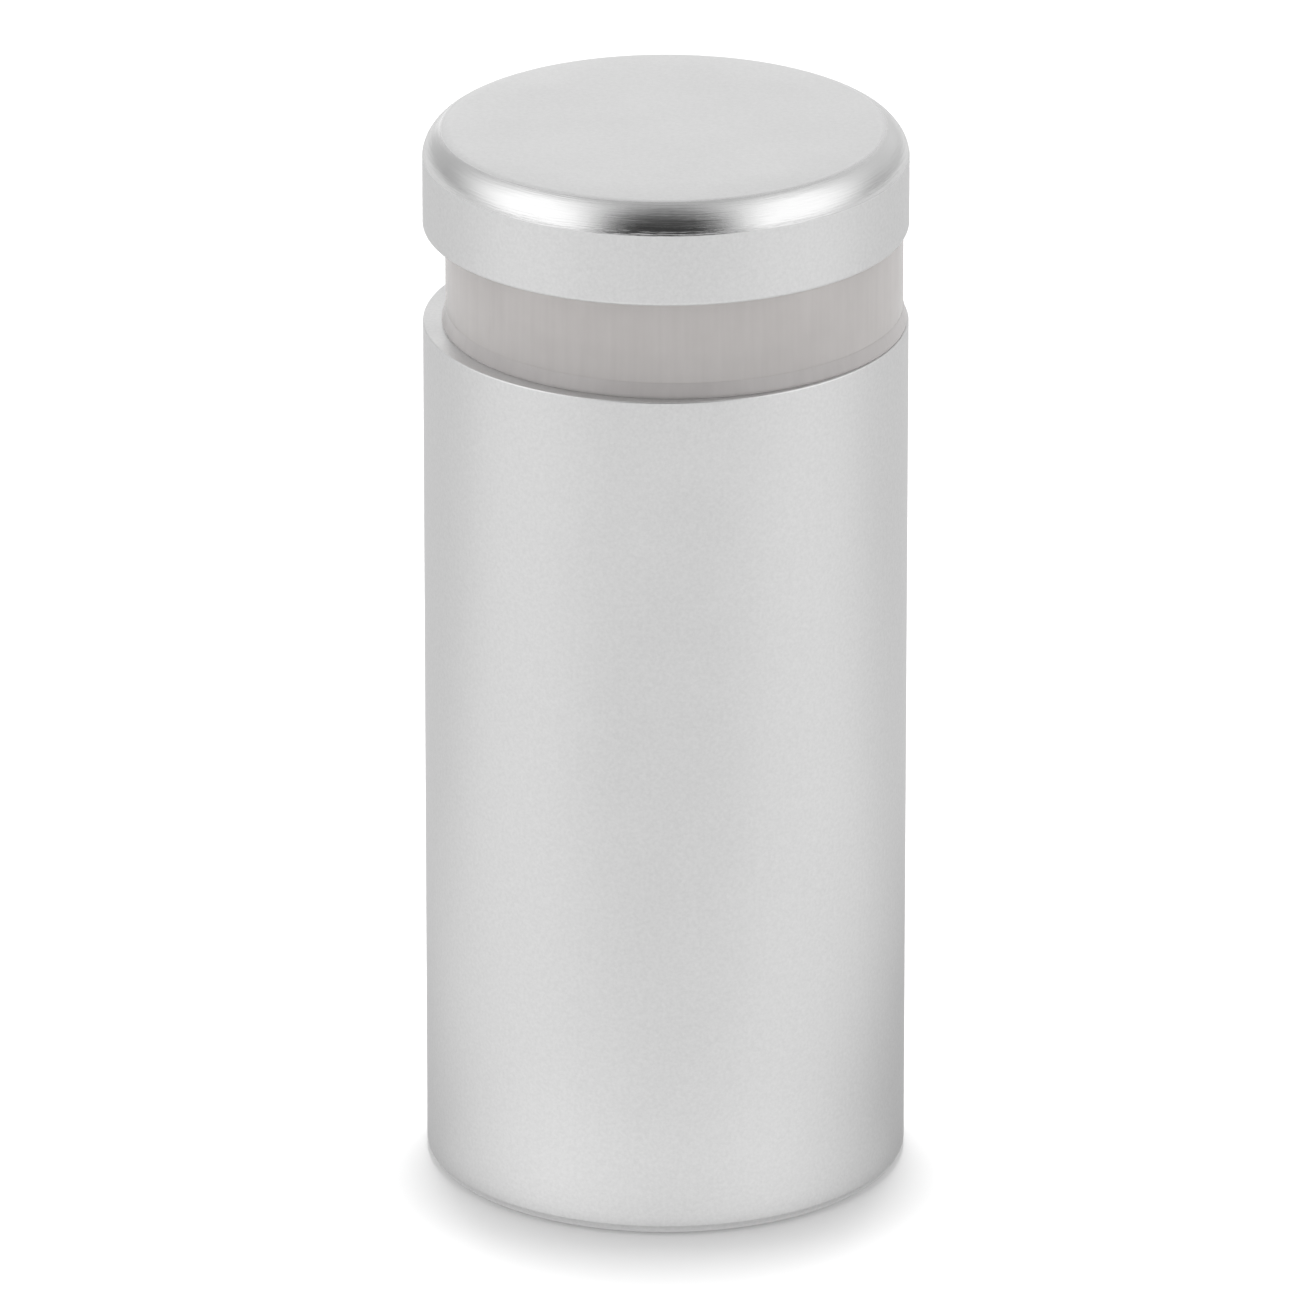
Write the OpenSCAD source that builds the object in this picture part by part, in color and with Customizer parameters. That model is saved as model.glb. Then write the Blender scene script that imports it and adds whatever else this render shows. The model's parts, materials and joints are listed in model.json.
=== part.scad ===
// Glass panel standoff: a barrel that is screwed to the wall, two soft washers that grip
// the panel, and a cap whose threaded stud screws into the barrel.
// The wall face of the barrel lies on Z = 0, and the axis is +Z.

/* [Barrel] */
// Outside diameter of the barrel and of the cap
barrel_d = 19; // [17:0.5:30]
// Length of the barrel, from the wall to the washers
barrel_len = 35; // [31:0.5:60]
// Width of the round on the foot's outer edge
foot_round = 0.4; // [0.2:0.1:1]
// Width of the edge break round the mouth
mouth_break = 0.05; // [0.05:0.05:0.3]

/* [Bore] */
// Nominal diameter of the thread
thread_d = 8; // [6:0.5:10]
// Pitch of the thread
thread_pitch = 1.25; // [1:0.25:1.5]
// Depth of the thread below the mouth
tap_depth = 24; // [19.5:0.5:26]
// Width of the lead-in chamfer at the mouth of the thread
lead_in = 0.6; // [0.3:0.1:1]
// Diameter of the hole for the wall screw
screw_hole_d = 4; // [3:0.1:4.4]
// Thickness of the web that the wall screw's head pulls on
web_t = 3; // [2:0.5:5]

/* [Washers] */
// Thickness of the washer on the barrel
lower_washer_t = 0.6; // [0.5:0.1:1.5]
// Thickness of the washer under the cap
upper_washer_t = 3.3; // [1.5:0.1:4.5]
// How far the lower washer stays inside the barrel's edge
lower_washer_inset = 0.4; // [0.35:0.05:1.5]
// How far the upper washer stays inside the barrel's edge
upper_washer_inset = 0.55; // [0.4:0.05:1.5]
// Width of the round on the washers' outer edges
washer_round = 0.05; // [0.05:0.05:0.2]
// Radial room between the washers' holes and the stud
washer_room = 0.5; // [0.4:0.05:1]
// How far the loose washers lie off the axis, along +X
washer_shift = 0.33; // [0:0.01:0.35]

/* [Cap] */
// Thickness of the cap
cap_t = 4; // [3.6:0.1:6]
// Width of the radius turned on the top edge
cap_edge = 1.1; // [0.5:0.1:1.8]
// Width of the edge break on the lower rim
cap_break = 0.15; // [0.1:0.05:0.3]
// Depth of the blind hole that holds the stud
cap_socket = 3; // [2:0.1:3.3]
// Width of the chamfer at the mouth of the blind hole
socket_lead_in = 0.3; // [0.1:0.1:0.6]

/* [Stud] */
// Length of the stud
stud_len = 25; // [20:0.5:28]
// Width of the chamfer on both ends
stud_chamfer = 0.8; // [0.4:0.1:1]
// Size of the hexagon socket across its flats
hex_af = 4; // [3:0.5:4]
// Depth of the hexagon socket
hex_depth = 4.5; // [3:0.5:8]

/* [Fits] */
// Radial play between the stud and the plain bore that stands for its thread
thread_play = 0.05; // [0.02:0.01:0.1]
// Gap between the cap and the washer that it turns on
cap_gap = 0.02; // [0.01:0.01:0.05]
// Angle at which a turned round meets the faces beside it
round_angle = 7; // [4:1:15]

/* [Hidden] */
$fn = 96;
over = 1;
barrel_r = barrel_d / 2;
stud_r = thread_d / 2;
tapped_r = stud_r + thread_play;
core_r = (thread_d - thread_pitch) / 2;
hole_r = screw_hole_d / 2;
seat_h = core_r - hole_r;
washer_hole_r = stud_r + washer_room;
upper_washer_z = barrel_len + lower_washer_t;
cap_z = upper_washer_z + upper_washer_t + cap_gap;
stud_z = cap_z + cap_socket - stud_len;

// What a round-edged cutter takes off an outer corner at the origin, in the half section.
module corner_waste(width) {
    back = width / (1 - tan(round_angle));
    translate([-back, -back])
        difference() {
            square(back + over);
            circle(norm([back, back - width]));
        }
}

// A turned disc with a round of its own on the lower and on the upper outer edge.
module turned_disc(r, h, low_round, top_round) {
    rotate_extrude()
        difference() {
            square([r, h]);
            translate([r, 0]) mirror([0, 1]) corner_waste(low_round);
            translate([r, h]) corner_waste(top_round);
        }
}

// A hole that opens downwards at Z = 0, with a 45 degree chamfer at its mouth.
module chamfered_hole(r, depth, chamfer) {
    translate([0, 0, -over]) cylinder(r = r, h = depth + over);
    translate([0, 0, -over]) cylinder(r1 = r + chamfer + over, r2 = r, h = chamfer + over);
}

module barrel() {
    color([0.80, 0.80, 0.79])
        difference() {
            turned_disc(barrel_r, barrel_len, foot_round, mouth_break);
            // straight hole for the wall screw's shank
            translate([0, 0, -over]) cylinder(r = hole_r, h = web_t + 2 * over);
            // countersunk seat for its head, at the foot of the drilled chamber
            translate([0, 0, web_t]) cylinder(r1 = hole_r, r2 = core_r, h = seat_h);
            translate([0, 0, web_t + seat_h]) cylinder(r = core_r, h = barrel_len);
            // thread, as a plain bore of its outer diameter
            translate([0, 0, barrel_len])
                mirror([0, 0, 1]) chamfered_hole(tapped_r, tap_depth, lead_in);
        }
}

// A soft washer, on the axis with its lower face at Z = 0.
module washer(r, t) {
    difference() {
        turned_disc(r, t, washer_round, washer_round);
        translate([0, 0, -over]) cylinder(r = washer_hole_r, h = t + 2 * over);
    }
}

module lower_washer() {
    color([0.86, 0.86, 0.85])
        translate([washer_shift, 0, barrel_len])
            washer(barrel_r - lower_washer_inset, lower_washer_t);
}

module upper_washer() {
    color([0.78, 0.77, 0.76])
        translate([washer_shift, 0, upper_washer_z])
            washer(barrel_r - upper_washer_inset, upper_washer_t);
}

module cap() {
    color([0.82, 0.82, 0.81])
        translate([0, 0, cap_z])
            difference() {
                turned_disc(barrel_r, cap_t, cap_break, cap_edge);
                chamfered_hole(tapped_r, cap_socket, socket_lead_in);
            }
}

module stud() {
    color([0.62, 0.63, 0.65])
        translate([0, 0, stud_z])
            difference() {
                rotate_extrude()
                    polygon([
                        [0, 0],
                        [stud_r - stud_chamfer, 0],
                        [stud_r, stud_chamfer],
                        [stud_r, stud_len - stud_chamfer],
                        [stud_r - stud_chamfer, stud_len],
                        [0, stud_len]
                    ]);
                // hexagon socket in the lower end, by which the stud is driven into the cap
                translate([0, 0, -over])
                    cylinder(d = hex_af / cos(30), h = hex_depth + over, $fn = 6);
            }
}

barrel();
lower_washer();
upper_washer();
cap();
stud();
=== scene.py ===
import json
import math

import bmesh
import bpy
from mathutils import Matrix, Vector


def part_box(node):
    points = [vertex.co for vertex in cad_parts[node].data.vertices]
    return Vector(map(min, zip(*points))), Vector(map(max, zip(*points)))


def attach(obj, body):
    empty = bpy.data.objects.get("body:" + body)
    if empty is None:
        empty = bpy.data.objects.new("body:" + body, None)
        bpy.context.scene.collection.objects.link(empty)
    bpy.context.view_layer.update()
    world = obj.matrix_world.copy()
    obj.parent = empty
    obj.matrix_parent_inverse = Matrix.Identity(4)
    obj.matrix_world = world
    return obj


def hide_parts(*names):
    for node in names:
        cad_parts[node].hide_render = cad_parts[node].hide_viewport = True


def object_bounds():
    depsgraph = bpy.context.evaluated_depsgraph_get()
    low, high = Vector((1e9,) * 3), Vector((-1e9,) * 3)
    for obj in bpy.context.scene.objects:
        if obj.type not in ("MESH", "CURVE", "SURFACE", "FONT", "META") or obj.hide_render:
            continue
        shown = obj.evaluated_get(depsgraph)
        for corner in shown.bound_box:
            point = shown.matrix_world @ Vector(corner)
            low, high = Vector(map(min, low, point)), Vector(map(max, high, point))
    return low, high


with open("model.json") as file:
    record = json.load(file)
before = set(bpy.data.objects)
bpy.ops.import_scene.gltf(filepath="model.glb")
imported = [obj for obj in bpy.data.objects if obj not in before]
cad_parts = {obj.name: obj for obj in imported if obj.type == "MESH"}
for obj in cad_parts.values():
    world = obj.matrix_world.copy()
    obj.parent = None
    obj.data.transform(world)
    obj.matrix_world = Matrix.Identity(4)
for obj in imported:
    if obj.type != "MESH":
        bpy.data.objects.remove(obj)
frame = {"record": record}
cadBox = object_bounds()
mm = 0.001

# Glass panel standoff: blasted and anodised barrel and cap with a bright turned radius, two silicone
# washers, and a plated stud. Sizes come from the frame, what the frame doesn't hold is in the dictionaries.

turning = {
    "roundAngle": 7,  # degrees between a turned round and the faces beside it
    "creaseAngle": 5,  # degrees
    "sliver": 0.0005 * mm,  # points closer than this become one
    "segments": 256,
    "breakSteps": 6,  # facets across a small edge break
}


def roundPoints(radius, height, width, upper, steps):
    # Round left by a radius tool on an outer corner at (radius, height). It meets both faces at a small
    # angle, as the CAD corner does, so its borders stay crisp.
    meets = math.radians(turning["roundAngle"])
    back = width / (1 - math.tan(meets))
    sweep = math.hypot(back, back - width)
    points = []
    for step in range(steps + 1):
        angle = meets + (math.pi / 2 - 2 * meets) * step / steps
        out = sweep * math.cos(angle) - back
        up = sweep * math.sin(angle) - back
        points.append((radius + out, height + up if upper else height - up))
    return points if upper else points[::-1]


def markCreases(mesh, limit):
    # Smooth shading, with a hard edge wherever two faces meet at more than the limit
    work = bmesh.new()
    work.from_mesh(mesh)
    for face in work.faces:
        face.smooth = True
    for edge in work.edges:
        edge.smooth = len(edge.link_faces) == 2 and edge.calc_face_angle() < math.radians(limit)
    work.to_mesh(mesh)
    work.free()


def addPiece(name, work, materials):
    bmesh.ops.recalc_face_normals(work, faces=work.faces)
    mesh = bpy.data.meshes.new(name)
    work.to_mesh(mesh)
    work.free()
    for material in materials:
        mesh.materials.append(material)
    markCreases(mesh, turning["creaseAngle"])
    piece = bpy.data.objects.new(name, mesh)
    bpy.context.scene.collection.objects.link(piece)
    return piece


def latheWork(outline, segments, offset=0.0):
    # Turns an outline of (radius, height, finish) points round +Z. A point on the axis becomes a pole,
    # and an outline that doesn't touch the axis is closed into a ring.
    work = bmesh.new()
    rings = []
    for radius, height, finish in outline:
        if radius < turning["sliver"]:
            rings.append([work.verts.new((offset, 0, height))])
            continue
        ring = []
        for step in range(segments):
            angle = 2 * math.pi * step / segments
            ring.append(work.verts.new((offset + radius * math.cos(angle), radius * math.sin(angle), height)))
        rings.append(ring)
    closed = len(rings[0]) > 1
    for index in range(len(rings) if closed else len(rings) - 1):
        low, high = rings[index], rings[(index + 1) % len(rings)]
        for step in range(segments):
            after = (step + 1) % segments
            if len(low) == 1:
                corners = (low[0], high[step], high[after])
            elif len(high) == 1:
                corners = (low[step], low[after], high[0])
            else:
                corners = (low[step], low[after], high[after], high[step])
            work.faces.new(corners).material_index = outline[index][2]
    return work


def threadWork(crest, root, low, high, chamfer):
    # A threaded rod. Its rows follow the helix, so that every crest is one unbroken line, and it is then
    # cut square at both ends, where a cone takes the crests down to the chamfer.
    pitch, spare, segments = thread["pitch"], thread["spareTurns"], thread["segments"]
    crestFlat, flank = thread["crestFlat"], thread["flank"]
    corners = [(0, crest), (crestFlat, crest), (crestFlat + flank, root), (1 - flank, root), (1, crest)]
    stops = [0, crestFlat]
    stops += [crestFlat + flank * part for part in thread["flankParts"]]
    stops += [1 - flank * part for part in thread["flankParts"][::-1]]
    first = math.floor(low / pitch) - spare
    last = math.ceil(high / pitch) + spare
    work = bmesh.new()
    rows = []
    for turn in range(first, last):
        for stop in stops:
            row = []
            for (startAt, startR), (endAt, endR) in zip(corners, corners[1:]):
                if startAt <= stop <= endAt:
                    radius = startR + (endR - startR) * (stop - startAt) / (endAt - startAt)
                    break
            for step in range(segments):
                share = step / segments
                height = pitch * (turn + stop + share)
                coneLow = crest - chamfer + max(height - low, -spare * pitch)
                coneHigh = crest - chamfer + max(high - height, -spare * pitch)
                reach = max(min(radius, coneLow, coneHigh), thread["leastRadius"])
                angle = 2 * math.pi * share
                row.append(work.verts.new((reach * math.cos(angle), reach * math.sin(angle), height)))
            rows.append(row)
    perTurn = len(stops)
    for index in range(len(rows) - 1 - perTurn):
        lower, upper = rows[index], rows[index + 1]
        for step in range(segments - 1):
            work.faces.new((lower[step], lower[step + 1], upper[step + 1], upper[step]))
        # a row ends where the one that lies a turn higher begins
        work.faces.new((lower[-1], rows[index + perTurn][0], rows[index + perTurn + 1][0], upper[-1]))
    for height, direction in ((low, -1), (high, 1)):
        bmesh.ops.bisect_plane(
            work,
            geom=work.verts[:] + work.edges[:] + work.faces[:],
            plane_co=(0, 0, height),
            plane_no=(0, 0, direction),
            clear_outer=True,
        )
        rim = []
        for edge in work.edges:
            if edge.is_boundary and abs(edge.verts[0].co.z - height) < turning["sliver"]:
                rim.append(edge)
        bmesh.ops.edgeloop_fill(work, edges=rim)
    return work


def cutFrom(piece, work):
    # Takes the tool's shape out of the piece, and leaves plain mesh without the slivers that a cut makes
    tool = addPiece("cutter", work, [])
    cut = piece.modifiers.new("cut", "BOOLEAN")
    cut.operation = "DIFFERENCE"
    cut.solver = "EXACT"
    cut.object = tool
    bpy.context.view_layer.update()
    evaluated = piece.evaluated_get(bpy.context.evaluated_depsgraph_get())
    result = bpy.data.meshes.new_from_object(evaluated)
    piece.modifiers.clear()
    piece.data = result
    bpy.data.objects.remove(tool)
    clean = bmesh.new()
    clean.from_mesh(result)
    bmesh.ops.remove_doubles(clean, verts=clean.verts, dist=turning["sliver"])
    bmesh.ops.dissolve_degenerate(clean, dist=turning["sliver"], edges=clean.edges)
    clean.to_mesh(result)
    clean.free()
    markCreases(result, turning["creaseAngle"])


noiseSpan = (0.3, 0.7)  # nearly all of a noise texture lies between these


def hexColour(code):
    # sRGB hex to the linear colour that the nodes take
    channels = [int(code[start:start + 2], 16) / 255 for start in (0, 2, 4)]
    linear = [c / 12.92 if c <= 0.04045 else ((c + 0.055) / 1.055) ** 2.4 for c in channels]
    return (*linear, 1)


def addNode(tree, kind, inputs=None, **settings):
    # Adds one node: settings are its own properties, inputs are values or the sockets that feed them
    node = tree.nodes.new(kind)
    for name, value in settings.items():
        setattr(node, name, value)
    for name, value in (inputs or {}).items():
        if isinstance(value, bpy.types.NodeSocket):
            tree.links.new(value, node.inputs[name])
        else:
            node.inputs[name].default_value = value
    return node


def newMaterial(name):
    material = bpy.data.materials.new(name)
    material.use_nodes = True
    material.node_tree.nodes.clear()
    return material, material.node_tree


blasted = {
    "colour": "E4E4E4",
    # mottle: the colour is darker at the bottom of a dimple and lighter on its rim, as painted shade and
    # painted highlight
    "mottle": (0.955, 1.035),  # share of the colour at the bottom of a dimple and on its rim
    "roughness": (0.4, 0.44),  # where it is smoothest and roughest
    "cloudSize": 3 * mm,  # size of the patches in which the roughness drifts
    "gritSize": 0.14 * mm,  # glass beads leave dimples of about 0.05 mm, drawn coarser so that they show
    "gritDepth": 0.02 * mm,
    "gritStrength": 0.16,
}


def addBlasting(tree, place, colour):
    # The frost that glass beads leave: its base colour, with painted shade at the bottom of each dimple and a
    # painted highlight on its rim, its roughness and the height of its dimples
    grit = addNode(tree, "ShaderNodeTexNoise", {
        "Vector": place, "Scale": 1 / blasted["gritSize"], "Detail": 3, "Roughness": 0.6,
    })
    cloud = addNode(tree, "ShaderNodeTexNoise", {
        "Vector": place, "Scale": 1 / blasted["cloudSize"], "Detail": 2,
    })
    # painted shade and highlight: the colour follows the dimples' height, darker in their bottoms and lighter
    # on their rims
    shade = addNode(tree, "ShaderNodeMapRange", {
        "Value": grit.outputs["Fac"], "From Min": noiseSpan[0], "From Max": noiseSpan[1],
        "To Min": blasted["mottle"][0], "To Max": blasted["mottle"][1],
    })
    base = addNode(tree, "ShaderNodeVectorMath", {
        0: hexColour(colour)[:3], "Scale": shade.outputs["Result"],
    }, operation="SCALE")
    gloss = addNode(tree, "ShaderNodeMapRange", {
        "Value": cloud.outputs["Fac"], "From Min": noiseSpan[0], "From Max": noiseSpan[1],
        "To Min": blasted["roughness"][0], "To Max": blasted["roughness"][1],
    })
    return base.outputs["Vector"], gloss.outputs["Result"], grit.outputs["Fac"]


def makeBlastedAluminium():
    # Bead blasted, then clear anodised: a dull, even silver with no direction to it, and a fine frost of
    # dimples that breaks every reflection into a soft glow
    material, tree = newMaterial("blastedAnodisedAluminium")
    place = addNode(tree, "ShaderNodeTexCoord").outputs["Object"]
    base, gloss, grit = addBlasting(tree, place, blasted["colour"])
    bump = addNode(tree, "ShaderNodeBump", {
        "Height": grit, "Strength": blasted["gritStrength"], "Distance": blasted["gritDepth"],
    })
    shader = addNode(tree, "ShaderNodeBsdfPrincipled", {
        "Base Color": base, "Metallic": 1.0, "Roughness": gloss, "Normal": bump.outputs["Normal"],
    })
    addNode(tree, "ShaderNodeOutputMaterial", {"Surface": shader.outputs["BSDF"]})
    return material


turned = {
    "colour": "E0E0E0",
    "faceColour": "C5C5C5",  # the blasted top inside the cut
    "faceMetal": 0.55,  # the oxide skin on the open face scatters the rest of the light evenly
    "roughness": (0.07, 0.24),  # from the bottom of a groove to its crest
    "grooveWidth": 0.1 * mm,  # feed of the finishing cut, drawn twice as coarse as it is
    "grooveDepth": 0.025 * mm,
    "grooveStrength": 0.6,
    "grooveDrift": 0.03,  # how fast the grooves change along the edge, against across it
    "gritLeft": 0.25,  # share of the frost's dimples that the light cut leaves
    # the upper border of the cut, high on the round and a little off the axis: crisp at -X, worn soft at +X
    "borderRadius": 8.66 * mm,
    "borderAside": (-0.12 * mm, 0.14 * mm, 0),
    "borderSoft": (0.05 * mm, 0.25 * mm),
}


def makeTurnedAluminium():
    # Cut on the lathe after the blasting: mirror bright, with hair-fine rings that draw each reflection out
    # into streaks along the edge, and fading into the frost where the cut runs out
    material, tree = newMaterial("turnedAnodisedAluminium")
    place = addNode(tree, "ShaderNodeTexCoord").outputs["Object"]
    base, gloss, grit = addBlasting(tree, place, turned["faceColour"])
    parts = addNode(tree, "ShaderNodeSeparateXYZ", {"Vector": place})
    flat = addNode(tree, "ShaderNodeCombineXYZ", {"X": parts.outputs["X"], "Y": parts.outputs["Y"]})
    fromAxis = addNode(tree, "ShaderNodeVectorMath", {0: flat.outputs["Vector"]}, operation="LENGTH")
    across = addNode(tree, "ShaderNodeMath", {
        0: fromAxis.outputs["Value"], 1: parts.outputs["Z"],
    }, operation="SUBTRACT")  # grows along the round, from its upper border to its lower one
    drift = addNode(tree, "ShaderNodeVectorMath", {
        0: flat.outputs["Vector"], "Scale": turned["grooveDrift"],
    }, operation="SCALE")
    driftParts = addNode(tree, "ShaderNodeSeparateXYZ", {"Vector": drift.outputs["Vector"]})
    ringPlace = addNode(tree, "ShaderNodeCombineXYZ", {
        "X": driftParts.outputs["X"], "Y": driftParts.outputs["Y"], "Z": across.outputs["Value"],
    })
    rings = addNode(tree, "ShaderNodeTexNoise", {
        "Vector": ringPlace.outputs["Vector"], "Scale": 1 / turned["grooveWidth"],
        "Detail": 3, "Roughness": 0.7,
    })
    ringGloss = addNode(tree, "ShaderNodeMapRange", {
        "Value": rings.outputs["Fac"], "From Min": noiseSpan[0], "From Max": noiseSpan[1],
        "To Min": turned["roughness"][0], "To Max": turned["roughness"][1],
    })
    fromCut = addNode(tree, "ShaderNodeVectorMath", {
        0: flat.outputs["Vector"], 1: turned["borderAside"],
    }, operation="DISTANCE")
    pastBorder = addNode(tree, "ShaderNodeMath", {
        0: fromCut.outputs["Value"], 1: turned["borderRadius"],
    }, operation="SUBTRACT")
    soft = addNode(tree, "ShaderNodeMapRange", {
        "Value": parts.outputs["X"],
        "From Min": -turned["borderRadius"], "From Max": turned["borderRadius"],
        "To Min": turned["borderSoft"][0], "To Max": turned["borderSoft"][1],
    })
    softBefore = addNode(tree, "ShaderNodeMath", {0: soft.outputs["Result"], 1: -1.0}, operation="MULTIPLY")
    cut = addNode(tree, "ShaderNodeMapRange", {
        "Value": pastBorder.outputs["Value"],
        "From Min": softBefore.outputs["Value"], "From Max": soft.outputs["Result"],
    }, interpolation_type="SMOOTHSTEP")
    colour = addNode(tree, "ShaderNodeMix", {"Factor": cut.outputs["Result"]}, data_type="RGBA")
    tree.links.new(base, colour.inputs[6])
    colour.inputs[7].default_value = hexColour(turned["colour"])
    roughness = addNode(tree, "ShaderNodeMix", {
        "Factor": cut.outputs["Result"], "A": gloss, "B": ringGloss.outputs["Result"],
    })
    metal = addNode(tree, "ShaderNodeMapRange", {
        "Value": cut.outputs["Result"], "To Min": turned["faceMetal"], "To Max": 1.0,
    })
    gritLeft = addNode(tree, "ShaderNodeMapRange", {
        "Value": cut.outputs["Result"],
        "To Min": blasted["gritStrength"], "To Max": blasted["gritStrength"] * turned["gritLeft"],
    })
    ringLeft = addNode(tree, "ShaderNodeMath", {
        0: cut.outputs["Result"], 1: turned["grooveStrength"],
    }, operation="MULTIPLY")
    gritBump = addNode(tree, "ShaderNodeBump", {
        "Height": grit, "Strength": gritLeft.outputs["Result"], "Distance": blasted["gritDepth"],
    })
    bump = addNode(tree, "ShaderNodeBump", {
        "Height": rings.outputs["Fac"], "Strength": ringLeft.outputs["Value"],
        "Distance": turned["grooveDepth"], "Normal": gritBump.outputs["Normal"],
    })
    shader = addNode(tree, "ShaderNodeBsdfPrincipled", {
        "Base Color": colour.outputs[2], "Metallic": metal.outputs["Result"],
        "Roughness": roughness.outputs["Result"], "Normal": bump.outputs["Normal"],
    })
    addNode(tree, "ShaderNodeOutputMaterial", {"Surface": shader.outputs["BSDF"]})
    return material


silicone = {
    # colour, share of the light that wanders inside, share that passes straight on
    "milky": ("F8F3F1", 0.1, 0.36),
    "clear": ("DAD6D5", 0.0, 0.2),
    "glow": 0.5 * mm,  # how far it wanders
    "roughness": 0.16,
    "ior": 1.41,
    "mottle": (0.97, 1.03),
    "mottleSpan": (0.7, 1.3),  # nearly all of two noise textures together lies between these
    "cloudSize": 1.5 * mm,  # size of the cloudy patches in the rubber
    "drawLines": 0.25 * mm,  # spacing of the marks that the extrusion die leaves, drawn coarser than they are
    "drawStretch": 0.06,  # their spacing across, as a share of their length along the tube
    "drawDepth": 0.02 * mm,
    "drawStrength": 0.15,
}


def makeSilicone(name, colour, waxy, seeThrough):
    # Silicone rubber, extruded as a tube and sliced: waxy and softly glossy. Some light goes in and comes out
    # a little way off, which evens out the shading, and the die leaves faint upright lines.
    material, tree = newMaterial(name)
    place = addNode(tree, "ShaderNodeTexCoord").outputs["Object"]
    stretched = addNode(tree, "ShaderNodeVectorMath", {
        0: place, 1: (1, 1, silicone["drawStretch"]),
    }, operation="MULTIPLY")
    lines = addNode(tree, "ShaderNodeTexNoise", {
        "Vector": stretched.outputs["Vector"], "Scale": 1 / silicone["drawLines"], "Detail": 2,
    })
    cloud = addNode(tree, "ShaderNodeTexNoise", {
        "Vector": place, "Scale": 1 / silicone["cloudSize"], "Detail": 3,
    })
    mixed = addNode(tree, "ShaderNodeMath", {
        0: lines.outputs["Fac"], 1: cloud.outputs["Fac"],
    }, operation="ADD")
    shade = addNode(tree, "ShaderNodeMapRange", {
        "Value": mixed.outputs["Value"],
        "From Min": silicone["mottleSpan"][0], "From Max": silicone["mottleSpan"][1],
        "To Min": silicone["mottle"][0], "To Max": silicone["mottle"][1],
    })
    base = addNode(tree, "ShaderNodeVectorMath", {
        0: hexColour(colour)[:3], "Scale": shade.outputs["Result"],
    }, operation="SCALE")
    bump = addNode(tree, "ShaderNodeBump", {
        "Height": lines.outputs["Fac"],
        "Strength": silicone["drawStrength"], "Distance": silicone["drawDepth"],
    })
    shader = addNode(tree, "ShaderNodeBsdfPrincipled", {
        "Base Color": base.outputs["Vector"], "Roughness": silicone["roughness"], "IOR": silicone["ior"],
        "Subsurface Weight": waxy, "Subsurface Scale": silicone["glow"], "Subsurface Radius": (1.0, 1.0, 1.0),
        "Transmission Weight": seeThrough, "Normal": bump.outputs["Normal"],
    })
    addNode(tree, "ShaderNodeOutputMaterial", {"Surface": shader.outputs["BSDF"]})
    return material


plating = {
    "colours": ("C3C6CB", "B2B3B2"),  # bright zinc, and its cloudy patches
    "roughness": (0.24, 0.36),
    "cloudSize": 0.6 * mm,
    "cloudDepth": 0.02 * mm,
    "cloudStrength": 0.1,
}


def makePlatedSteel():
    # Rolled thread in steel, bright zinc plated: bluish silver, softly glossy, a little cloudy from the bath
    material, tree = newMaterial("brightZincPlatedSteel")
    place = addNode(tree, "ShaderNodeTexCoord").outputs["Object"]
    cloud = addNode(tree, "ShaderNodeTexNoise", {
        "Vector": place, "Scale": 1 / plating["cloudSize"], "Detail": 4, "Roughness": 0.6,
    })
    base = addNode(tree, "ShaderNodeMix", {
        "Factor": cloud.outputs["Fac"],
        "A": hexColour(plating["colours"][0]), "B": hexColour(plating["colours"][1]),
    }, data_type="RGBA")
    gloss = addNode(tree, "ShaderNodeMapRange", {
        "Value": cloud.outputs["Fac"], "From Min": noiseSpan[0], "From Max": noiseSpan[1],
        "To Min": plating["roughness"][0], "To Max": plating["roughness"][1],
    })
    bump = addNode(tree, "ShaderNodeBump", {
        "Height": cloud.outputs["Fac"],
        "Strength": plating["cloudStrength"], "Distance": plating["cloudDepth"],
    })
    shader = addNode(tree, "ShaderNodeBsdfPrincipled", {
        "Base Color": base.outputs["Result"], "Metallic": 1.0,
        "Roughness": gloss.outputs["Result"], "Normal": bump.outputs["Normal"],
    })
    addNode(tree, "ShaderNodeOutputMaterial", {"Surface": shader.outputs["BSDF"]})
    return material


blastedAluminium = makeBlastedAluminium()
turnedAluminium = makeTurnedAluminium()
milkySilicone = makeSilicone("milkyExtrudedSilicone", *silicone["milky"])
clearSilicone = makeSilicone("clearExtrudedSilicone", *silicone["clear"])
platedSteel = makePlatedSteel()
print("materials made")


thread = {
    "pitch": 1.25 * mm,
    "crestFlat": 1 / 8,  # in pitches
    "flank": 5 / 16,  # in pitches, at 30 degrees
    "flankParts": (0.12, 0.5, 0.88, 1),  # where rows lie on a flank, closer at its ends to keep them crisp
    "depth": 0.677 * mm,
    "play": 0.06 * mm,  # radial room between the stud's thread and the tapped one
    "segments": 96,
    "spareTurns": 2,  # made past each end and cut off again
    "leastRadius": 0.5 * mm,  # of the rows past the ends
}

barrel = {
    "footRound": 0.4 * mm,
    "footSteps": 10,
    "mouthBreak": 0.05 * mm,
    "chamber": 3.375 * mm,  # radius of the drilled chamber, which is the tapping drill's
    "tapDepth": 24 * mm,
    "leadIn": 4.65 * mm,  # radius of the lead-in chamfer at the mouth
}


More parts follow.
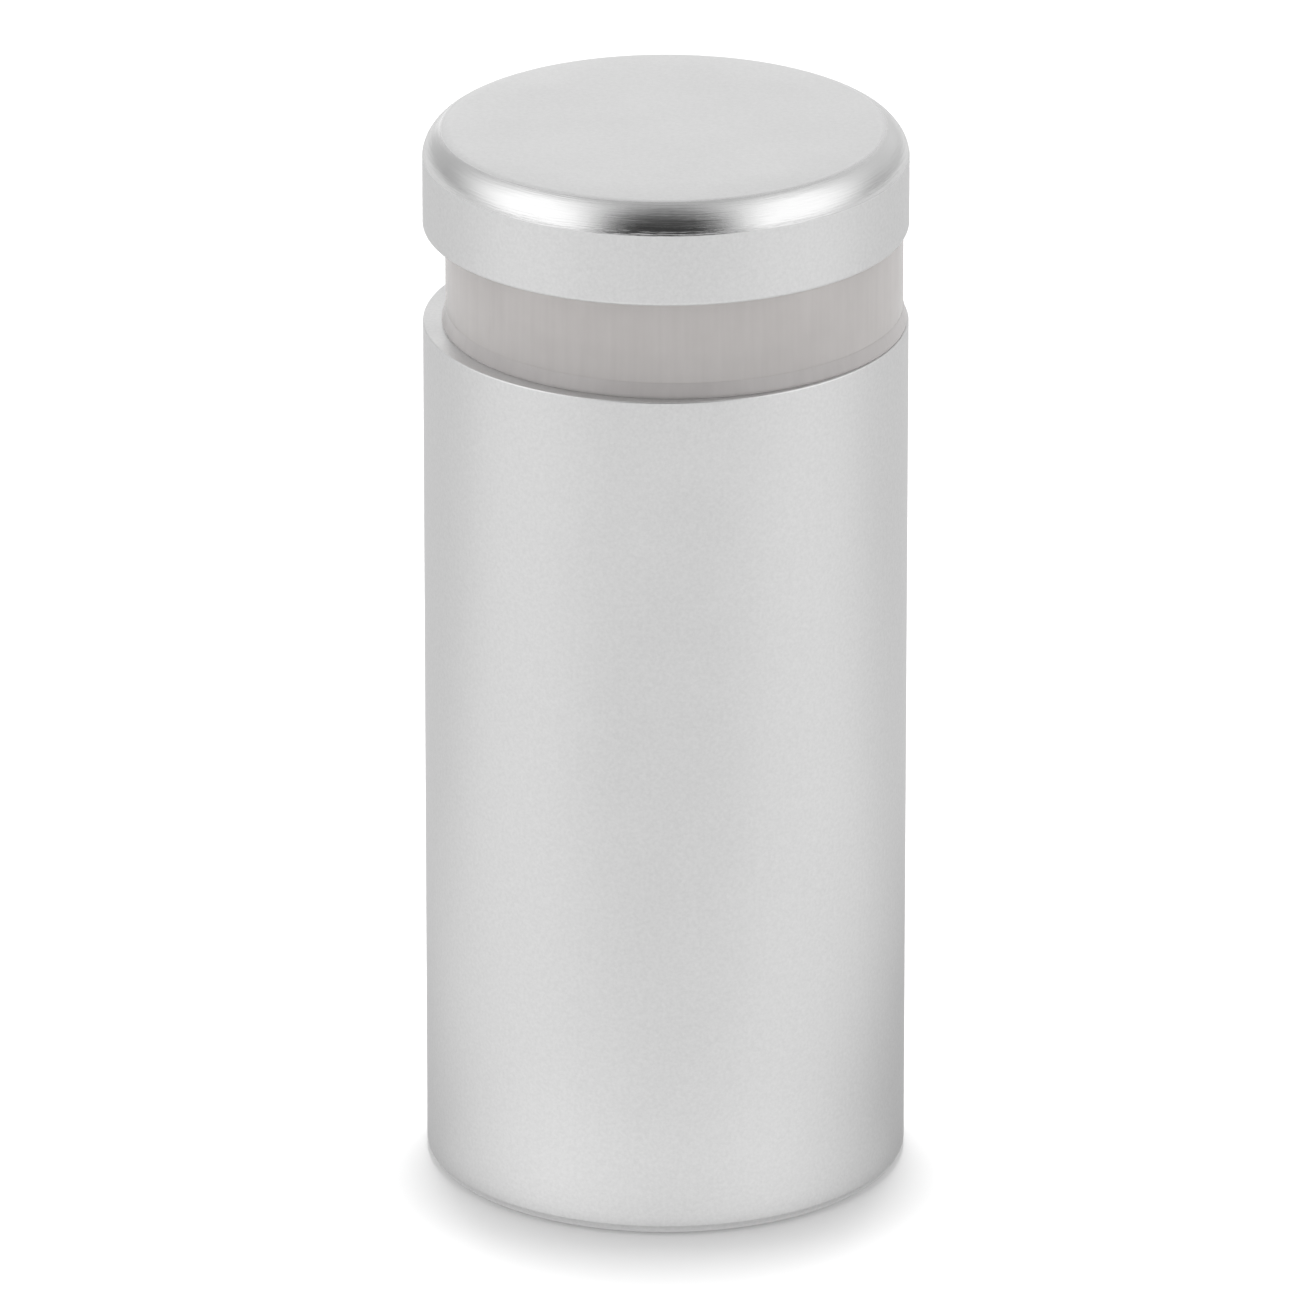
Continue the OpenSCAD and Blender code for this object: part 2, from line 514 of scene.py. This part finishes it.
def makeBarrel():
    low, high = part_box("barrel")
    mounts = {mount["name"]: mount["dims"] for mount in frame["record"]["mounts"]}
    hole, web = mounts["wall_screw_hole"]["r_mm"] * mm, mounts["wall_screw_hole"]["length_mm"] * mm
    outer, length = high.x, high.z
    outline = [(hole, low.z, 0)]
    foot = roundPoints(outer, low.z, barrel["footRound"], False, barrel["footSteps"])
    mouth = roundPoints(outer, length, barrel["mouthBreak"], True, turning["breakSteps"])
    outline += [(r, z, 0) for r, z in foot + mouth]
    outline += [
        (barrel["leadIn"], length, 0),
        (barrel["chamber"], length - (barrel["leadIn"] - barrel["chamber"]), 0),
        (barrel["chamber"], web + barrel["chamber"] - hole, 0),
        (hole, web, 0),
    ]
    piece = addPiece("barrel_body", latheWork(outline, turning["segments"]), [blastedAluminium])
    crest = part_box("stud")[1].x + thread["play"]
    root = crest - thread["depth"] - thread["play"]
    bottom = length - barrel["tapDepth"]
    cutFrom(piece, threadWork(crest, root, bottom, length + thread["pitch"], thread["depth"]))
    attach(piece, "barrel")
    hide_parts("barrel")


washers = {
    "hole": 4.5 * mm,  # radius
    "round": 0.02 * mm,
    "lip": 0.1 * mm,  # height at which the lower one begins to narrow towards the upper one
    "seam": 0.005 * mm,  # how far it still stands out where they meet
    "segments": 192,
}


def makeWasher(node, body, topNode, material):
    low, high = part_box(node)
    offset = (low.x + high.x) / 2
    radius = (high.x - low.x) / 2
    outline = [(washers["hole"], low.z, 0)]
    if topNode:
        topLow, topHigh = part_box(topNode)
        foot = roundPoints(radius, low.z, washers["round"], False, turning["breakSteps"])
        outline += [(r, z, 0) for r, z in foot]
        outline.append((radius, low.z + washers["lip"], 0))
        outline.append(((topHigh.x - topLow.x) / 2 + washers["seam"], high.z, 0))
    else:
        outline.append((radius, low.z, 0))
        top = roundPoints(radius, high.z, washers["round"], True, turning["breakSteps"])
        outline += [(r, z, 0) for r, z in top]
    outline.append((washers["hole"], high.z, 0))
    piece = addPiece(node + "_soft", latheWork(outline, washers["segments"], offset), [material])
    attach(piece, body)
    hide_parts(node)


cap = {
    "edge": 1.1 * mm,  # width of the bright turned radius
    "edgeSteps": 28,
    "softRing": 2.0 * mm,  # over this width inside it the shading runs smoothly into the flat top
    "rimBreak": 0.15 * mm,
    "socket": 4.05 * mm,  # radius of the blind hole for the stud
    "socketDepth": 3 * mm,
    "socketLeadIn": 0.3 * mm,
}


def makeCap():
    low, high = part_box("cap")
    outer = high.x
    outline = [
        (0, low.z + cap["socketDepth"], 0),
        (cap["socket"], low.z + cap["socketDepth"], 0),
        (cap["socket"], low.z + cap["socketLeadIn"], 0),
        (cap["socket"] + cap["socketLeadIn"], low.z, 0),
    ]
    rim = roundPoints(outer, low.z, cap["rimBreak"], False, turning["breakSteps"])
    outline += [(r, z, 0) for r, z in rim]
    edge = roundPoints(outer, high.z, cap["edge"], True, cap["edgeSteps"])
    outline += [(r, z, 1) for r, z in edge]
    outline.append((edge[-1][0] - cap["softRing"], high.z, 1))
    outline.append((0, high.z, 1))
    piece = addPiece("cap_disc", latheWork(outline, turning["segments"]), [blastedAluminium, turnedAluminium])
    for side in piece.data.edges:
        if min(piece.data.vertices[index].co.z for index in side.vertices) > high.z - turning["sliver"]:
            side.use_edge_sharp = False
    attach(piece, "cap")
    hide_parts("cap")


stud = {
    "chamfer": 0.8 * mm,
    "hexFlats": 4 * mm,  # the socket in the lower end, by which the stud is driven into the cap
    "hexDepth": 4.5 * mm,
    "hexSides": 6,
}


def makeStud():
    low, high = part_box("stud")
    crest = high.x
    rod = threadWork(crest, crest - thread["depth"], low.z, high.z, stud["chamfer"])
    piece = addPiece("stud_threaded", rod, [platedSteel])
    corner = stud["hexFlats"] / 2 / math.cos(math.pi / stud["hexSides"])
    start, end = low.z - mm, low.z + stud["hexDepth"]
    key = [(0, start, 0), (corner, start, 0), (corner, end, 0), (0, end, 0)]
    cutFrom(piece, latheWork(key, stud["hexSides"]))
    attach(piece, "cap")
    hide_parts("stud")


makeBarrel()
print("barrel made")
makeWasher("lower_washer", "barrel", "upper_washer", clearSilicone)
makeWasher("upper_washer", "upper_washer", None, milkySilicone)
print("washers made")
makeCap()
print("cap made")
makeStud()
print("stud made")


view = {
    "distance": 0.642,  # metres from the foot of the object to the lens
    "elevation": 23.19,  # degrees above the floor, seen from the foot
    "tilt": 21.443,  # degrees that the lens looks down
    "aside": -0.62 * mm,
    "lens": 445.3,  # focal length in millimetres
}


def makeCamera():
    data = bpy.data.cameras.new("camera")
    data.lens = view["lens"]
    camera = bpy.data.objects.new("camera", data)
    bpy.context.scene.collection.objects.link(camera)
    rise = math.radians(view["elevation"])
    camera.location = (view["aside"], -view["distance"] * math.cos(rise), view["distance"] * math.sin(rise))
    camera.rotation_euler = (math.radians(90 - view["tilt"]), 0, 0)
    bpy.context.scene.camera = camera


studio = {
    "floorRadius": 0.16,  # metres
    "floorSegments": 96,
    "floorDrop": 0.01 * mm,  # keeps the paper clear of the foot, which lies in the same plane
    "floorRoughness": 0.9,
    "floorSeen": "F6F6F6",  # what the lens sees of the paper
    # what reflections see of it: a darker grey with a painted glow added, an emission that stands in for
    # light on the paper; the painted glow is gone at the foot, and weaker in the painted shade behind the
    # object
    "floorColour": "8C8C8C",
    "floorGlow": 0.5,
    "glowStart": (8.7 * mm, 10.2 * mm),
    "underGlow": 0.38,  # more of it right under the foot's edge, and close in front of it
    "underEnd": (9.35 * mm, 10.0 * mm),
    "frontGlow": 0.38,
    "frontStart": (9.9 * mm, 10.6 * mm),
    "frontEnd": (11 * mm, 22 * mm),
    "frontReach": (0.0, 0.85),  # cosine of the azimuth at which it starts and is full
    "lensGlow": 0.14,  # more of it again, further out towards the lens
    "lensStart": (40 * mm, 80 * mm),
    "lensReach": (0.88, 0.97),
    # painted darkening: the painted glow is made weaker towards the back of the object
    "glowBack": (-5 * mm, 30 * mm),  # the glow fades towards the back of the object
    "glowLeft": 0.62,
    # a painted shade: a patch behind the object in which the painted glow is dimmed, seen only in reflections
    "shadePlace": (4 * mm, 12 * mm, 0),  # the shade behind the object, and the share of the glow left in it
    "shadeSize": (12 * mm, 34 * mm),
    "shadeLeft": 0.3,
    # the lamp overhead: azimuth (0 is the camera's side, 90 is +X), elevation, distance, width, height and
    # brightness, where lampScale makes a brightness of 1 look like white paper
    "overhead": (180, 84.3, 0.6, 0.078, 0.11, 78.4),
    "lampScale": 4,
    # the room: a white tent, open towards the camera, with a lit panel on each side
    "frontDark": 0.045,
    "backLight": 0.665,
    "darkPower": 1.4,
    "backdropLight": 0.62,  # a brighter backdrop far behind the object
    "backdrop": (0.8, 0.95),
    "backdropRight": (-0.05, 0.22),  # it fades out over these on the right and on the left
    "backdropLeft": (-0.12, -0.4),
    "backdropRest": 0.1,
    "cardLight": 0.14,  # a white card behind on the right
    "cardSide": (0.1, 0.4),
    "cardBack": (0.4, 0.7),
    "cardFoot": (0.05, 0.25),
    "panelLight": (1.38, 1.32),  # left and right
    "gapFront": (0.3, 0.85),  # where the panels begin and are full beside the lens, and behind the object
    "gapBack": (0.0, 0.4),
    "gapTo": (0.0, 0.5),  # how far back the gap has narrowed to that
    "panelLean": 0.7,  # the panels reach further back the higher they are
    "panelReach": (-0.48, 0.45),
    # what reflections see of the floor further off: all round, towards the lens, and far off towards the lens
    "floorFar": (0.82, 1.0, 0.08),
    "floorLens": (-0.7, -0.9),
    "floorDark": (-0.16, -0.1),
}


def facing(azimuth, elevation, distance):
    # A place round the object, and the turn that makes something there look at its middle
    turn, rise = math.radians(azimuth), math.radians(elevation)
    middle = (cadBox[0] + cadBox[1]) / 2
    direction = middle.copy()
    direction.x, direction.y, direction.z = (
        math.sin(turn) * math.cos(rise), -math.cos(turn) * math.cos(rise), math.sin(rise),
    )
    return middle + direction * distance, (-direction).to_track_quat("-Z", "Y")


def makeFloor():
    work = bmesh.new()
    bmesh.ops.create_circle(
        work, cap_ends=True, radius=studio["floorRadius"], segments=studio["floorSegments"],
    )
    mesh = bpy.data.meshes.new("floor")
    work.to_mesh(mesh)
    work.free()
    material, tree = newMaterial("whitePaper")  # smooth white backdrop paper: even, with no gloss
    # The lens sees the paper evenly. Other rays see a darker grey with a painted glow: an emission round the
    # foot standing in for light on the paper, with a painted shade behind the object and painted darkening
    # towards the back.
    seen = addNode(tree, "ShaderNodeLightPath").outputs["Is Camera Ray"]
    place = addNode(tree, "ShaderNodeTexCoord").outputs["Object"]
    depth = addNode(tree, "ShaderNodeSeparateXYZ", {"Vector": place}).outputs["Y"]
    fromFoot = addNode(tree, "ShaderNodeVectorMath", {0: place}, operation="LENGTH")
    footGlow = addNode(tree, "ShaderNodeMapRange", {
        "Value": fromFoot.outputs["Value"],
        "From Min": studio["glowStart"][0], "From Max": studio["glowStart"][1],
    })
    # painted shade behind the object, which dims the painted glow
    fromShade = addNode(tree, "ShaderNodeVectorMath", {
        0: place, 1: studio["shadePlace"],
    }, operation="DISTANCE")
    shade = addNode(tree, "ShaderNodeMapRange", {
        "Value": fromShade.outputs["Value"],
        "From Min": studio["shadeSize"][0], "From Max": studio["shadeSize"][1],
        "To Min": studio["shadeLeft"], "To Max": 1.0,
    }, interpolation_type="SMOOTHSTEP")
    backGlow = addNode(tree, "ShaderNodeMapRange", {
        "Value": depth, "From Min": studio["glowBack"][0], "From Max": studio["glowBack"][1],
        "To Min": studio["floorGlow"], "To Max": studio["floorGlow"] * studio["glowLeft"],
    }, interpolation_type="SMOOTHSTEP")
    evenGlow = addNode(tree, "ShaderNodeMath", {
        0: footGlow.outputs["Result"], 1: shade.outputs["Result"],
    }, operation="MULTIPLY")
    wideGlow = addNode(tree, "ShaderNodeMath", {
        0: evenGlow.outputs["Value"], 1: backGlow.outputs["Result"],
    }, operation="MULTIPLY")
    towards = addNode(tree, "ShaderNodeMath", {0: depth, 1: fromFoot.outputs["Value"]}, operation="DIVIDE")
    inFront = addNode(tree, "ShaderNodeMapRange", {
        "Value": towards.outputs["Value"],
        "From Min": -studio["frontReach"][0], "From Max": -studio["frontReach"][1],
        "To Max": studio["frontGlow"],
    })
    towardsLens = addNode(tree, "ShaderNodeMapRange", {
        "Value": towards.outputs["Value"],
        "From Min": -studio["lensReach"][0], "From Max": -studio["lensReach"][1],
        "To Max": studio["lensGlow"],
    })
    lensGlow = addNode(tree, "ShaderNodeMapRange", {
        "Value": fromFoot.outputs["Value"],
        "From Min": studio["lensStart"][0], "From Max": studio["lensStart"][1],
        "To Max": towardsLens.outputs["Result"],
    })
    underFoot = addNode(tree, "ShaderNodeMapRange", {
        "Value": fromFoot.outputs["Value"],
        "From Min": studio["underEnd"][0], "From Max": studio["underEnd"][1],
        "To Min": studio["underGlow"], "To Max": 0.0,
    })
    nearFoot = addNode(tree, "ShaderNodeMapRange", {
        "Value": fromFoot.outputs["Value"],
        "From Min": studio["frontEnd"][1], "From Max": studio["frontEnd"][0],
        "To Max": inFront.outputs["Result"],
    })
    offFoot = addNode(tree, "ShaderNodeMapRange", {
        "Value": fromFoot.outputs["Value"],
        "From Min": studio["frontStart"][0], "From Max": studio["frontStart"][1],
        "To Max": nearFoot.outputs["Result"],
    })
    closeGlow = addNode(tree, "ShaderNodeMath", {
        0: underFoot.outputs["Result"], 1: offFoot.outputs["Result"],
    }, operation="ADD")
    farGlow = addNode(tree, "ShaderNodeMath", {
        0: wideGlow.outputs["Value"], 1: lensGlow.outputs["Result"],
    }, operation="ADD")
    paperGlow = addNode(tree, "ShaderNodeMath", {
        0: farGlow.outputs["Value"], 1: closeGlow.outputs["Value"],
    }, operation="ADD")
    colour = addNode(tree, "ShaderNodeMix", {"Factor": seen}, data_type="RGBA")
    colour.inputs[6].default_value = hexColour(studio["floorColour"])
    colour.inputs[7].default_value = hexColour(studio["floorSeen"])
    # the painted glow is emitted for every ray but the lens's
    glow = addNode(tree, "ShaderNodeMapRange", {
        "Value": seen, "To Min": paperGlow.outputs["Value"], "To Max": 0.0,
    })
    shader = addNode(tree, "ShaderNodeBsdfPrincipled", {
        "Base Color": colour.outputs[2], "Roughness": studio["floorRoughness"], "Specular IOR Level": 0.0,
        "Emission Color": (1, 1, 1, 1), "Emission Strength": glow.outputs["Result"],
    })
    addNode(tree, "ShaderNodeOutputMaterial", {"Surface": shader.outputs["BSDF"]})
    mesh.materials.append(material)
    floor = bpy.data.objects.new("floor", mesh)
    floor.location.z = cadBox[0].z - studio["floorDrop"]
    bpy.context.scene.collection.objects.link(floor)


def makeLamp(name, azimuth, elevation, distance, width, height, brightness):
    data = bpy.data.lights.new(name, "AREA")
    data.shape = "RECTANGLE"
    data.size, data.size_y = width, height
    data.energy = brightness * width * height * studio["lampScale"]
    lamp = bpy.data.objects.new(name, data)
    bpy.context.scene.collection.objects.link(lamp)
    lamp.rotation_mode = "QUATERNION"
    lamp.location, lamp.rotation_quaternion = facing(azimuth, elevation, distance)
    lamp.visible_camera = False
    return lamp


def makeSky():
    # The tent that the object stands in. Its light fades from behind the object to the dark side where the
    # lens is, and a panel glows on either side of a gap that runs from the lens over the top.
    world = bpy.data.worlds.new("whiteTent")
    world.use_nodes = True
    bpy.context.scene.world = world
    tree = world.node_tree
    tree.nodes.clear()
    way = addNode(tree, "ShaderNodeSeparateXYZ", {
        "Vector": addNode(tree, "ShaderNodeTexCoord").outputs["Generated"],
    })
    behind = addNode(tree, "ShaderNodeMapRange", {
        "Value": way.outputs["Y"], "From Min": -1.0, "From Max": 1.0,
    })
    fade = addNode(tree, "ShaderNodeMath", {
        0: behind.outputs["Result"], 1: studio["darkPower"],
    }, operation="POWER")
    wall = addNode(tree, "ShaderNodeMapRange", {
        "Value": fade.outputs["Value"], "To Min": studio["frontDark"], "To Max": studio["backLight"],
    })
    backdrop = addNode(tree, "ShaderNodeMapRange", {
        "Value": way.outputs["Y"], "From Min": studio["backdrop"][0], "From Max": studio["backdrop"][1],
        "To Max": studio["backdropLight"],
    }, interpolation_type="SMOOTHSTEP")
    backdropHere = backdrop.outputs["Result"]
    for side in (studio["backdropRight"], studio["backdropLeft"]):
        fading = addNode(tree, "ShaderNodeMapRange", {
            "Value": way.outputs["X"], "From Min": side[0], "From Max": side[1],
            "To Min": 1.0, "To Max": studio["backdropRest"],
        }, interpolation_type="SMOOTHSTEP")
        backdropHere = addNode(tree, "ShaderNodeMath", {
            0: backdropHere, 1: fading.outputs["Result"],
        }, operation="MULTIPLY").outputs["Value"]
    cardHere = studio["cardLight"]
    for axis, reachOf in (("X", "cardSide"), ("Y", "cardBack"), ("Z", "cardFoot")):
        growing = addNode(tree, "ShaderNodeMapRange", {
            "Value": way.outputs[axis], "From Min": studio[reachOf][0], "From Max": studio[reachOf][1],
        }, interpolation_type="SMOOTHSTEP")
        cardHere = addNode(tree, "ShaderNodeMath", {
            0: cardHere, 1: growing.outputs["Result"],
        }, operation="MULTIPLY").outputs["Value"]
    backAndCard = addNode(tree, "ShaderNodeMath", {0: wall.outputs["Result"], 1: cardHere}, operation="ADD")
    back = addNode(tree, "ShaderNodeMath", {
        0: backAndCard.outputs["Value"], 1: backdropHere,
    }, operation="ADD")
    gapStart = addNode(tree, "ShaderNodeMapRange", {
        "Value": way.outputs["Y"], "From Min": -1.0, "From Max": studio["gapTo"][0],
        "To Min": studio["gapFront"][0], "To Max": studio["gapBack"][0],
    })
    gapEnd = addNode(tree, "ShaderNodeMapRange", {
        "Value": way.outputs["Y"], "From Min": -1.0, "From Max": studio["gapTo"][1],
        "To Min": studio["gapFront"][1], "To Max": studio["gapBack"][1],
    })
    offMiddle = addNode(tree, "ShaderNodeMath", {0: way.outputs["X"]}, operation="ABSOLUTE")
    aside = addNode(tree, "ShaderNodeMapRange", {
        "Value": offMiddle.outputs["Value"],
        "From Min": gapStart.outputs["Result"], "From Max": gapEnd.outputs["Result"],
    }, interpolation_type="SMOOTHSTEP")
    lean = addNode(tree, "ShaderNodeMath", {
        0: way.outputs["Z"], 1: studio["panelLean"],
    }, operation="MULTIPLY")
    forward = addNode(tree, "ShaderNodeMath", {
        0: lean.outputs["Value"], 1: way.outputs["Y"],
    }, operation="SUBTRACT")
    reach = addNode(tree, "ShaderNodeMapRange", {
        "Value": forward.outputs["Value"],
        "From Min": studio["panelReach"][0], "From Max": studio["panelReach"][1],
    }, interpolation_type="SMOOTHSTEP")
    panel = addNode(tree, "ShaderNodeMath", {
        0: aside.outputs["Result"], 1: reach.outputs["Result"],
    }, operation="MULTIPLY")
    panelLight = addNode(tree, "ShaderNodeMapRange", {
        "Value": way.outputs["X"], "From Min": -1.0, "From Max": 1.0,
        "To Min": studio["panelLight"][0], "To Max": studio["panelLight"][1],
    })
    room = addNode(tree, "ShaderNodeMix", {
        "Factor": panel.outputs["Value"], "A": back.outputs["Value"], "B": panelLight.outputs["Result"],
    })
    lensFloor = addNode(tree, "ShaderNodeMapRange", {
        "Value": way.outputs["Z"], "From Min": studio["floorDark"][0], "From Max": studio["floorDark"][1],
        "To Min": studio["floorFar"][1], "To Max": studio["floorFar"][2],
    }, interpolation_type="SMOOTHSTEP")
    farFloor = addNode(tree, "ShaderNodeMapRange", {
        "Value": way.outputs["Y"], "From Min": studio["floorLens"][0], "From Max": studio["floorLens"][1],
        "To Min": studio["floorFar"][0], "To Max": lensFloor.outputs["Result"],
    }, interpolation_type="SMOOTHSTEP")
    above = addNode(tree, "ShaderNodeMath", {0: way.outputs["Z"], 1: 0.0}, operation="GREATER_THAN")
    withFloor = addNode(tree, "ShaderNodeMix", {
        "Factor": above.outputs["Value"], "A": farFloor.outputs["Result"], "B": room.outputs["Result"],
    })
    strength = addNode(tree, "ShaderNodeMix", {
        "Factor": addNode(tree, "ShaderNodeLightPath").outputs["Is Camera Ray"],
        "A": withFloor.outputs["Result"], "B": 1.0,
    })
    shader = addNode(tree, "ShaderNodeBackground", {
        "Color": (1, 1, 1, 1), "Strength": strength.outputs["Result"],
    })
    addNode(tree, "ShaderNodeOutputWorld", {"Surface": shader.outputs["Background"]})


makeCamera()
makeFloor()
makeLamp("overheadBox", *studio["overhead"]).visible_glossy = False
makeSky()
bpy.context.scene.view_settings.view_transform = "Standard"
print("studio made")
